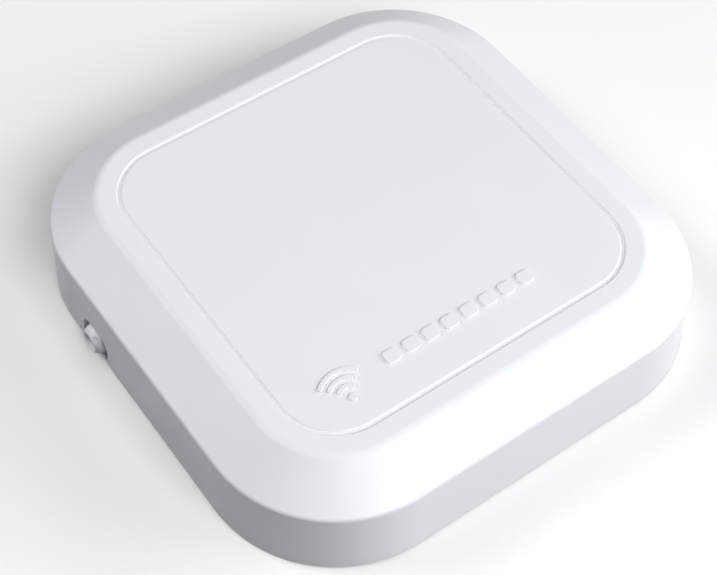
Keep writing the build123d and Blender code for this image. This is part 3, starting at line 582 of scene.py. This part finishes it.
clean(shell)
open_piece(shell, "EDGE")
rim_edges = pick("edges", lambda e: level_edge(RIM)(e) and fold(e) > math.radians(60))
bpy.ops.mesh.bevel(offset=RIM_ROUND, segments=2, affect="EDGES", clamp_overlap=True)
close_piece()
soften(shell)
print("rim edges", rim_edges, "open edges", open_edges(shell))
finish_piece(shell, "front_shell", "housing", "cover_white", "front_cover")

# %% [markdown]
# The power inlet's collar is a turned shape: a short tube with a domed end and a dish that leads the
# plug in. It starts as a rod along the X axis. A bevel on the tip's edge makes the dome, because a
# bevel as wide as its own radius on a square edge is a quarter circle, and three round cutters bore
# the dish, the lip and the seat of the socket. A fourth drills the small dark key mark in its flank.

# %% Inlet collar
COLLAR_R = 5.6 * MM
COLLAR_TIP = -97.5 * MM
COLLAR_FOOT = -90.4 * MM
DOME = 3.5 * MM
DISH_R = 4.1 * MM
DISH_DEPTH = 1.9 * MM
LIP_R = 2.4 * MM
LIP_DEPTH = 0.6 * MM
SEAT_R = 3.25 * MM
LIP_ROUND = 0.14 * MM
KEY_X = -95.75 * MM
KEY_REACH = 5.131 * MM
KEY_TURN = math.radians(33.47)
KEY_LEAN = math.radians(30)
KEY_R = 0.85 * MM
KEY_DEPTH = 1.2 * MM


def inlet_point(x):
    return (x, INLET_Y, INLET_Z)


collar = rod(COLLAR_R, inlet_point(COLLAR_TIP), inlet_point(COLLAR_FOOT), segments=64)
open_piece(collar, "EDGE")
pick("edges", lambda e: all(abs(v.co.x - COLLAR_TIP) < 0.02 * MM for v in e.verts))
bpy.ops.mesh.bevel(offset=DOME, segments=10, affect="EDGES")
close_piece()
clear_selection()
bpy.ops.mesh.primitive_cone_add(
    vertices=64, radius1=LIP_R, radius2=DISH_R + (DISH_R - LIP_R) * MM / DISH_DEPTH,
    depth=DISH_DEPTH + MM, location=inlet_point(COLLAR_TIP + (DISH_DEPTH - MM) / 2),
    rotation=(0, math.radians(-90), 0),
)
cut(collar, bpy.context.object)
dish_floor = COLLAR_TIP + DISH_DEPTH
cut(collar, rod(LIP_R, inlet_point(dish_floor - MM), inlet_point(dish_floor + 2 * LIP_DEPTH), segments=64))
cut(collar, rod(SEAT_R, inlet_point(dish_floor + LIP_DEPTH), inlet_point(COLLAR_FOOT + MM), segments=64))
around = Vector((0, -math.sin(KEY_TURN), math.cos(KEY_TURN)))
outwards = around * math.cos(KEY_LEAN) - Vector((math.sin(KEY_LEAN), 0, 0))
key_mark = Vector(inlet_point(KEY_X)) + around * KEY_REACH
cut(collar, rod(KEY_R, key_mark - outwards * KEY_DEPTH, key_mark + outwards * MM))
clean(collar)
open_piece(collar, "EDGE")
lip_edges = pick("edges", lambda e: middle(e).x < dish_floor + 0.1 * MM and fold(e) > math.radians(50))
bpy.ops.mesh.bevel(offset=LIP_ROUND, segments=2, affect="EDGES")
close_piece()
soften(collar)
print("lip edges", lip_edges, "open edges", open_edges(collar))
finish_piece(collar, "inlet_ring", "housing", "cover_white", "inlet_collar")

# %% [markdown]
# The other hard pieces already have their true shapes, but their edges are as sharp as a drawing's.
# A real edge is never that sharp: sheet metal is rolled over by its die, and a moulding follows the
# cutter's nose. So each of these nodes is copied, its loose triangles are merged and its flat areas
# joined up, and a bevel of a few tenths of a millimetre is run round every edge that folds sharply.
# The bevel is told to harden its normals, which keeps the flats beside it flat. Where a face has
# holes, joining it up leaves seams from hole to outline that a bevel can fold over, so a node that
# has such faces is split into triangles again first.

# %% Pieces with softened edges
record_slots = {row["node"]: row["material_slot"] for row in frame["record"]["subparts"]}
body_of_node = {name: body_of(piece) for name, piece in nodes.items()}
print("bodies of", len(body_of_node), "nodes,", body_of_node["pair_cap"])


EDGE_ROUNDS = 2
FOLD_ANGLE = math.radians(38)
NODE_MERGE_GAP = 0.004 * MM
HOLED_NODES = {
    "base_pan", "port_panel", "ceiling_bracket", "left_radio_shield", "right_radio_shield",
    "wan_jack_shell", "wan_jack_insert",
}


def soft_edged(node, width):
    """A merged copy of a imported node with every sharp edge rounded."""
    piece = nodes[node].copy()
    piece.data = nodes[node].data.copy()
    bpy.context.collection.objects.link(piece)
    piece.parent = None
    piece.matrix_world = Matrix()
    piece.hide_render = False
    piece.hide_viewport = False
    piece.hide_set(False)
    make_active(piece)
    bpy.ops.mesh.customdata_custom_splitnormals_clear()
    open_piece(piece, "VERT")
    bpy.ops.mesh.select_all(action="SELECT")
    bpy.ops.mesh.remove_doubles(threshold=NODE_MERGE_GAP)
    bpy.ops.mesh.dissolve_limited(angle_limit=math.radians(0.6))
    if node in HOLED_NODES:
        bpy.ops.mesh.quads_convert_to_tris(quad_method="BEAUTY", ngon_method="BEAUTY")
    bpy.ops.mesh.normals_make_consistent(inside=False)
    close_piece()
    bpy.ops.object.shade_smooth_by_angle(angle=FOLD_ANGLE)
    apply_modifier(
        piece, "BEVEL", width=width, segments=EDGE_ROUNDS, limit_method="ANGLE", harden_normals=True,
        angle_limit=FOLD_ANGLE, miter_outer="MITER_ARC", use_clamp_overlap=True,
    )
    apply_modifier(piece, "TRIANGULATE", min_vertices=MOST_CORNERS + 1, keep_custom_normals=True)
    print(node, "open edges", open_edges(piece), end=" ")
    return piece


# %% [markdown]
# Each width is a guess at that piece's own tool: wide on the moulded pan, a hair on a cut film. The
# two network jacks are one part bought twice, so both are rounded from the first one's shape, and
# the second is moved to its own place.

# %% Edge widths in millimetres
SOFT_EDGES = {
    "pan_tray": ("base_pan", 0.3),
    "port_plate": ("port_panel", 0.22),
    "bracket_plate": ("ceiling_bracket", 0.28),
    "corner_screws": ("cover_screws", 0.18),
    "film_label": ("rating_label", 0.04),
    "circuit_board": ("main_board", 0.1),
    "standoff_screws": ("board_screws", 0.18),
    "processor_body": ("processor", 0.15),
    "silicone_pad": ("thermal_pad", 0.15),
    "finned_sink": ("heat_sink", 0.2),
    "sink_pins": ("heat_sink_pins", 0.25),
    "left_shield_can": ("left_radio_shield", 0.12),
    "right_shield_can": ("right_radio_shield", 0.12),
    "header_body": ("power_header", 0.2),
    "socket_body": ("inlet_socket", 0.15),
    "centre_pin": ("inlet_pin", 0.05),
    "socket_tails": ("inlet_terminals", 0.1),
    "wan_shell": ("wan_jack_shell", 0.12),
    "wan_insert": ("wan_jack_insert", 0.2),
    "wan_wires": ("wan_jack_contacts", 0.06),
    "lan_shell": ("lan_jack_shell", 0.12),
    "lan_insert": ("lan_jack_insert", 0.2),
    "lan_wires": ("lan_jack_contacts", 0.06),
    "pair_button_cap": ("pair_cap", 0.12),
    "pair_plunger": ("pair_nib", 0.12),
    "reset_plunger": ("reset_nib", 0.12),
    "light_guide": ("light_pipe", 0.12),
    "light_chips": ("status_leds", 0.12),
    "antenna_plugs": ("lead_plugs", 0.12),
    "front_left_strip": ("front_left_antenna", 0.06),
    "front_right_strip": ("front_right_antenna", 0.06),
    "side_left_strip": ("side_left_antenna", 0.06),
    "side_right_strip": ("side_right_antenna", 0.06),
    "power_wires": ("power_lead", 0.1),
    "front_left_coax": ("front_left_lead", 0.1),
    "front_right_coax": ("front_right_lead", 0.1),
    "side_left_coax": ("side_left_lead", 0.1),
    "side_right_coax": ("side_right_lead", 0.1),
}
SAME_PART = {"lan_jack_shell": "wan_jack_shell", "lan_jack_insert": "wan_jack_insert"}
for name, (node, width) in SOFT_EDGES.items():
    pattern = SAME_PART.get(node, node)
    piece = soft_edged(pattern, width * MM)
    piece.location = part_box(node)[0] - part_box(pattern)[0]
    finish_piece(piece, name, body_of_node[node][0], record_slots[node], node)

# %% [markdown]
# Every finish is made of nodes on the object's own coordinates, in metres, so a noise scale of 2500
# gives grain of 0.4 mm. The helpers below each add one thing: a noise, a spread of that noise
# between two values, a tint between two colours, and a bump. Sizes and depths are those of the real
# finish, because grain that is too coarse makes a thing look like a toy.

# %% Building blocks of a finish
class Finish:
    """One material: its shader, and the parts that colour and roughen it."""

    def __init__(self, slot, colour, roughness, metallic=0.0, **sockets):
        self.material = bpy.data.materials.new(slot + "_finish")
        self.material.use_nodes = True
        self.tree = self.material.node_tree
        self.shader = self.tree.nodes["Principled BSDF"]
        self.shader.inputs["Base Color"].default_value = (*colour, 1)
        self.shader.inputs["Roughness"].default_value = roughness
        self.shader.inputs["Metallic"].default_value = metallic
        for name, value in sockets.items():
            self.shader.inputs[name.replace("_", " ")].default_value = value
        self.place = self.node("TexCoord").outputs["Object"]
        finishes[slot] = self

    def node(self, kind, **settings):
        made = self.tree.nodes.new("ShaderNode" + kind)
        for name, value in settings.items():
            setattr(made, name, value)
        return made

    def link(self, start, end):
        self.tree.links.new(start, end)

    def stretched(self, scale):
        """Coordinates stretched along the axes, for lines and brushing."""
        mapping = self.node("Mapping")
        mapping.inputs["Scale"].default_value = scale
        self.link(self.place, mapping.inputs["Vector"])
        return mapping.outputs["Vector"]

    def noise(self, scale, detail=2.0, place=None):
        made = self.node("TexNoise")
        made.inputs["Scale"].default_value = scale
        made.inputs["Detail"].default_value = detail
        self.link(place or self.place, made.inputs["Vector"])
        return made.outputs["Fac"]

    def cells(self, scale, feature="F1", output="Distance"):
        made = self.node("TexVoronoi", feature=feature)
        made.inputs["Scale"].default_value = scale
        self.link(self.place, made.inputs["Vector"])
        return made.outputs[output]

    def spread(self, value, low, high, start=0.3, end=0.7):
        """A value between start and end becomes one between low and high."""
        made = self.node("MapRange")
        for name, number in (("From Min", start), ("From Max", end), ("To Min", low), ("To Max", high)):
            made.inputs[name].default_value = number
        self.link(value, made.inputs["Value"])
        return made.outputs["Result"]

    def blend(self, share, first, second):
        """Two colours, or what is linked so far and a colour, mixed by a share."""
        made = self.node("Mix", data_type="RGBA")
        self.link(share, made.inputs["Factor"])
        for name, colour in (("A", first), ("B", second)):
            socket = [s for s in made.inputs if s.name == name and s.type == "RGBA"][0]
            if isinstance(colour, tuple):
                socket.default_value = (*colour, 1)
            else:
                self.link(colour, socket)
        return [s for s in made.outputs if s.type == "RGBA"][0]

    def colour_from(self, output):
        self.link(output, self.shader.inputs["Base Color"])

    def tint(self, value, first, second):
        """Colours the finish from the first tint to the second as a value rises."""
        self.colour_from(self.blend(self.spread(value, 0, 1), first, second))

    def roughness_from(self, output):
        self.link(output, self.shader.inputs["Roughness"])

    def metal_from(self, output):
        self.link(output, self.shader.inputs["Metallic"])

    def bump(self, height, depth, strength):
        """Adds a relief of a given depth in millimetres on top of the ones before."""
        made = self.node("Bump")
        made.inputs["Strength"].default_value = strength
        made.inputs["Distance"].default_value = depth * MM
        self.link(height, made.inputs["Height"])
        before = self.shader.inputs["Normal"].links
        if before:
            self.link(before[0].from_socket, made.inputs["Normal"])
        self.link(made.outputs["Normal"], self.shader.inputs["Normal"])

    def worn(self, start, end):
        """How exposed the surface is: 0 on flats and 1 along the outer edges."""
        pointed = self.node("NewGeometry").outputs["Pointiness"]
        return self.spread(pointed, 0.0, 1.0, start, end)


finishes = {}

# %% [markdown]
# The shell is white ABS with the fine texture that spark erosion leaves in a mould. Its colour
# drifts by a percent or two where the plastic flowed and cooled at different speeds, its gloss
# drifts more, and the grain is a quarter of a millimetre across. The pan behind it comes from a
# coarser mould, and the button from a polished one.

# %% Moulded whites
def moulded(slot, dark, light, smooth, rough, grain_scale, grain):
    finish = Finish(slot, light, rough)
    finish.tint(finish.noise(11, 3), dark, light)
    finish.roughness_from(finish.spread(finish.noise(45, 4), smooth, rough))
    finish.bump(finish.noise(26, 1), 0.12, 0.10)
    finish.bump(finish.noise(grain_scale, 2), 0.03, grain)


moulded("cover_white", (0.822, 0.846, 0.868), (0.838, 0.860, 0.880), 0.40, 0.50, 3600, 0.22)
moulded("pan_white", (0.745, 0.765, 0.785), (0.775, 0.795, 0.812), 0.52, 0.64, 2400, 0.40)
moulded("button_white", (0.80, 0.82, 0.84), (0.82, 0.84, 0.86), 0.26, 0.34, 5200, 0.10)

# %% [markdown]
# The bracket is sheet steel under a powder coat. The powder melts into low waves, like the skin of
# an orange, and it is thinnest along the pressed edges, where handling rubs it through to metal. The
# screws are zinc plated, with the faint straw and blue clouds of the passivating bath.

# %% Bracket and screws
powder = Finish("bracket_steel", (0.76, 0.77, 0.78), 0.40)
thin = powder.spread(powder.noise(900, 3), -0.35, 0.25)
wear = powder.node("Math", operation="ADD", use_clamp=True)
powder.link(powder.worn(0.60, 0.72), wear.inputs[0])
powder.link(thin, wear.inputs[1])
coat = powder.blend(powder.spread(powder.noise(30, 3), 0, 1), (0.735, 0.745, 0.755), (0.775, 0.785, 0.795))
powder.colour_from(powder.blend(wear.outputs[0], coat, (0.42, 0.41, 0.40)))
powder.metal_from(powder.spread(wear.outputs[0], 0.0, 0.9, 0.4, 0.8))
powder.roughness_from(powder.spread(powder.noise(140, 2), 0.34, 0.46))
powder.bump(powder.noise(850, 1), 0.05, 0.35)

zinc = Finish("screw_steel", (0.56, 0.57, 0.58), 0.3, 1.0)
bath = zinc.spread(zinc.noise(420, 3), 0, 1)
zinc.colour_from(zinc.blend(bath, (0.50, 0.53, 0.58), (0.62, 0.60, 0.53)))
zinc.roughness_from(zinc.spread(zinc.noise(2600, 3), 0.22, 0.42))
zinc.bump(zinc.noise(1, 3, zinc.stretched((9000, 9000, 900))), 0.01, 0.3)

# %% [markdown]
# A circuit board is green lacquer over copper. The lacquer stands a little proud where a track runs
# beneath it and is paler there, and small tinned holes join the layers. Cells with straight borders
# make believable tracks, and the middles of smaller cells make the holes. The antenna boards carry
# broad copper shapes instead, in rows.

# %% Circuit boards
mask = Finish("board_green", (0.035, 0.16, 0.075), 0.28, 0.0, Coat_Weight=0.35, Coat_Roughness=0.12)
tracks = mask.spread(mask.cells(210, "DISTANCE_TO_EDGE"), 1.0, 0.0, 0.025, 0.05)
holes = mask.spread(mask.cells(330), 1.0, 0.0, 0.10, 0.13)
lacquer = mask.blend(tracks, (0.030, 0.145, 0.068), (0.070, 0.260, 0.120))
mask.colour_from(mask.blend(holes, lacquer, (0.66, 0.62, 0.50)))
mask.metal_from(holes)
mask.roughness_from(mask.spread(mask.noise(500, 3), 0.22, 0.36))
mask.bump(tracks, 0.03, 0.6)

strip = Finish("antenna_board", (0.03, 0.12, 0.06), 0.3, 0.0, Coat_Weight=0.3, Coat_Roughness=0.15)
parts = strip.node("SeparateXYZ")
strip.link(strip.place, parts.inputs[0])
along = strip.node("Math", operation="ADD")
strip.link(parts.outputs["X"], along.inputs[0])
strip.link(parts.outputs["Y"], along.inputs[1])
flat = strip.node("CombineXYZ")
strip.link(along.outputs[0], flat.inputs["X"])
strip.link(parts.outputs["Z"], flat.inputs["Y"])
shapes = strip.node("TexBrick", offset=0.5)
strip.link(flat.outputs[0], shapes.inputs["Vector"])
brick = {"Scale": 1.0, "Mortar Size": 0.5 * MM, "Brick Width": 6 * MM, "Row Height": 3.4 * MM}
for socket, number in brick.items():
    shapes.inputs[socket].default_value = number
bare = shapes.outputs["Fac"]
strip.colour_from(strip.blend(bare, (0.58, 0.34, 0.16), (0.028, 0.115, 0.055)))
strip.metal_from(strip.spread(bare, 0.85, 0.0, 0.0, 1.0))
strip.roughness_from(strip.spread(strip.noise(700, 3), 0.26, 0.40))
strip.bump(bare, 0.03, 0.5)

# %% [markdown]
# Chips are pressed from black epoxy full of silica, which leaves a matt face with pale specks. The
# black parts of the jacks and switches are nylon, smoother and a little glossier. Ferrite is a
# sintered ceramic: dark grey, dry and pitted. Its pits are sunk by a bump and also painted darker,
# which is painted shade in those hollows.

# %% Dark parts
epoxy = Finish("chip_black", (0.04, 0.04, 0.044), 0.55)
specks = epoxy.spread(epoxy.noise(5200, 2), 0, 1, 0.62, 0.75)
epoxy.colour_from(epoxy.blend(specks, (0.032, 0.032, 0.036), (0.11, 0.11, 0.115)))
epoxy.roughness_from(epoxy.spread(epoxy.noise(300, 3), 0.48, 0.62))
epoxy.bump(epoxy.noise(3800, 2), 0.02, 0.35)

nylon = Finish("plastic_black", (0.02, 0.02, 0.023), 0.38)
nylon.tint(nylon.noise(160, 3), (0.016, 0.016, 0.018), (0.028, 0.028, 0.031))
nylon.roughness_from(nylon.spread(nylon.noise(420, 3), 0.30, 0.44))
nylon.bump(nylon.noise(3400, 2), 0.02, 0.25)

ferrite = Finish("coil_ferrite", (0.12, 0.12, 0.125), 0.7)
# One mask sinks the pits as relief and paints them darker: the darkening is painted shade in the hollows.
pits_with_painted_shade = ferrite.spread(ferrite.cells(2400), 0.0, 1.0, 0.15, 0.5)
ferrite.colour_from(ferrite.blend(pits_with_painted_shade, (0.07, 0.07, 0.072), (0.15, 0.15, 0.155)))
ferrite.roughness_from(ferrite.spread(ferrite.noise(900, 3), 0.62, 0.78))
ferrite.bump(pits_with_painted_shade, 0.04, 0.5)

# %% [markdown]
# The shields and jack shells are tinned steel, whose plating freezes into large dull and bright
# crystals. The heat sink and the capacitor cans are aluminium with the long lines of the die. The
# contacts are flashed with gold, a little darker where fingers and air have tarnished it.

# %% Bright metals
tin = Finish("shield_tin", (0.70, 0.71, 0.72), 0.3, 1.0)
crystals = tin.cells(260, output="Color")
grey = tin.node("RGBToBW")
tin.link(crystals, grey.inputs[0])
tin.colour_from(tin.blend(grey.outputs[0], (0.62, 0.63, 0.645), (0.78, 0.785, 0.79)))
tin.roughness_from(tin.spread(grey.outputs[0], 0.20, 0.38, 0.1, 0.9))
tin.bump(tin.noise(1500, 3), 0.015, 0.3)

drawn = Finish("sink_aluminium", (0.62, 0.63, 0.65), 0.35, 1.0)
lines = drawn.noise(1, 4, drawn.stretched((4200, 40, 4200)))
drawn.tint(lines, (0.55, 0.56, 0.585), (0.69, 0.70, 0.715))
drawn.roughness_from(drawn.spread(lines, 0.26, 0.46))
drawn.bump(lines, 0.02, 0.4)

gold = Finish("gold_contact", (0.83, 0.62, 0.27), 0.22, 1.0)
tarnish = gold.spread(gold.noise(650, 4), 0, 1, 0.4, 0.75)
gold.colour_from(gold.blend(tarnish, (0.86, 0.66, 0.30), (0.62, 0.43, 0.18)))
gold.roughness_from(gold.spread(tarnish, 0.16, 0.38, 0, 1))
gold.bump(gold.noise(4200, 2), 0.01, 0.25)

# %% [markdown]
# What is left is soft or clear: the grey silicone pad, the jackets of the leads, the moulded light
# guide, the lights with their yellow phosphor, and a blank silver label with a printed frame.

# %% Soft, clear and printed parts
pad = Finish("pad_grey", (0.40, 0.46, 0.53), 0.8)
pad.tint(pad.noise(1200, 3), (0.36, 0.41, 0.48), (0.44, 0.50, 0.57))
pad.roughness_from(pad.spread(pad.noise(500, 2), 0.7, 0.88))
pad.bump(pad.noise(2200, 2), 0.04, 0.5)

jacket = Finish("lead_grey", (0.10, 0.10, 0.105), 0.45)
jacket.tint(jacket.noise(260, 3), (0.085, 0.085, 0.09), (0.125, 0.125, 0.13))
jacket.roughness_from(jacket.spread(jacket.noise(900, 3), 0.38, 0.54))
jacket.bump(jacket.noise(3000, 2), 0.02, 0.3)

guide = Finish("light_clear", (0.94, 0.965, 0.975), 0.12, 0.0, Transmission_Weight=0.85, IOR=1.49)
guide.tint(guide.noise(90, 2), (0.92, 0.955, 0.97), (0.965, 0.98, 0.985))
guide.roughness_from(guide.spread(guide.noise(700, 3), 0.07, 0.20))
guide.bump(guide.noise(600, 2), 0.02, 0.2)

lens = Finish("led_yellow", (0.88, 0.80, 0.42), 0.25)
phosphor = lens.spread(lens.noise(1700, 3), 0, 1, 0.35, 0.65)
lens.colour_from(lens.blend(phosphor, (0.84, 0.74, 0.34), (0.93, 0.88, 0.58)))
lens.roughness_from(lens.spread(phosphor, 0.18, 0.36, 0, 1))
lens.bump(phosphor, 0.02, 0.3)

film = Finish("label_silver", (0.66, 0.67, 0.68), 0.36, 0.35)
LABEL_Y = -78 * MM
LABEL_HALF = Vector((22, 6)) * MM
centred = film.node("SeparateXYZ")
film.link(film.stretched((1 / LABEL_HALF.x, 1 / LABEL_HALF.y, 1)), centred.inputs[0])
sides = []
for axis, offset in (("X", 0), ("Y", -LABEL_Y / LABEL_HALF.y)):
    moved = film.node("Math", operation="ADD")
    moved.inputs[1].default_value = offset
    film.link(centred.outputs[axis], moved.inputs[0])
    whole = film.node("Math", operation="ABSOLUTE")
    film.link(moved.outputs[0], whole.inputs[0])
    sides.append(whole.outputs[0])
outermost = film.node("Math", operation="MAXIMUM")
film.link(sides[0], outermost.inputs[0])
film.link(sides[1], outermost.inputs[1])
frame_line = film.node("Math", operation="COMPARE")
film.link(outermost.outputs[0], frame_line.inputs[0])
frame_line.inputs[1].default_value = 0.88
frame_line.inputs[2].default_value = 0.02
silver = film.blend(film.spread(film.noise(300, 4), 0, 1), (0.62, 0.63, 0.64), (0.70, 0.71, 0.72))
film.colour_from(film.blend(frame_line.outputs[0], silver, (0.12, 0.12, 0.13)))
film.roughness_from(film.spread(film.noise(1400, 3), 0.30, 0.44))
film.bump(film.noise(1, 3, film.stretched((300, 6000, 300))), 0.01, 0.25)

# %% [markdown]
# Each piece takes the finish of its slot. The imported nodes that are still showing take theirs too, so
# that nothing keeps the plain colour it arrived with.

# %% Dressing every piece
def dress(piece, slot):
    piece.data.materials.clear()
    piece.data.materials.append(finishes[slot].material)


for name, piece in modelled.items():
    dress(piece, slot_of[name])
for name, piece in nodes.items():
    dress(piece, record_slots[name])
print("finishes", len(finishes), "pieces", len(modelled))

# %% [markdown]
# The floor is a plain pale sheet, a hair below the back so that the two never share a plane. It gives
# no light back, because a bright sheet would lift the walls out of their shade. The light is plain
# and soft: one lamp in front and one behind on the left at half height, and two low ones towards the
# right. The front slope then reads brightest, and the wall by the power inlet falls into shade.

# %% Floor and lights
FLOOR_SIZE = 6
FLOOR_DROP = 0.02 * MM
LAMP_DISTANCE = 1.6
LAMP_SIZE = 0.9

clear_selection()
bpy.ops.mesh.primitive_plane_add(size=FLOOR_SIZE)
floor = bpy.context.object
floor.name = "floor"
floor.location.z = -FLOOR_DROP
floor.visible_diffuse = False
floor_finish = bpy.data.materials.new("floor_paper")
floor_finish.use_nodes = True
paper = floor_finish.node_tree.nodes["Principled BSDF"]
paper.inputs["Base Color"].default_value = (0.95, 0.95, 0.95, 1)
paper.inputs["Roughness"].default_value = 0.9
floor.data.materials.append(floor_finish)


def soft_lamp(name, turn, rise, power):
    """A square lamp that looks at the object; turn 0 is in front and 90 is on the right."""
    turn, rise = math.radians(turn), math.radians(rise)
    place = LAMP_DISTANCE * Vector((
        math.sin(turn) * math.cos(rise), -math.cos(turn) * math.cos(rise), math.sin(rise),
    ))
    bpy.ops.object.light_add(type="AREA", location=place)
    lamp = bpy.context.object
    lamp.name = name
    lamp.data.size = LAMP_SIZE
    lamp.data.energy = power
    lamp.rotation_euler = place.to_track_quat("Z", "Y").to_euler()


soft_lamp("lamp_front", 0, 45, 15.6)
soft_lamp("lamp_back_left", 225, 45, 12.5)
soft_lamp("lamp_low_front_right", 45, 20, 14.7)
soft_lamp("lamp_low_right", 90, 20, 6.4)
room = bpy.data.worlds.new("room")
bpy.context.scene.world = room
room.use_nodes = True
room.node_tree.nodes["Background"].inputs["Color"].default_value = (1, 1, 1, 1)
room.node_tree.nodes["Background"].inputs["Strength"].default_value = 0.02
bpy.context.scene.view_settings.view_transform = "Standard"
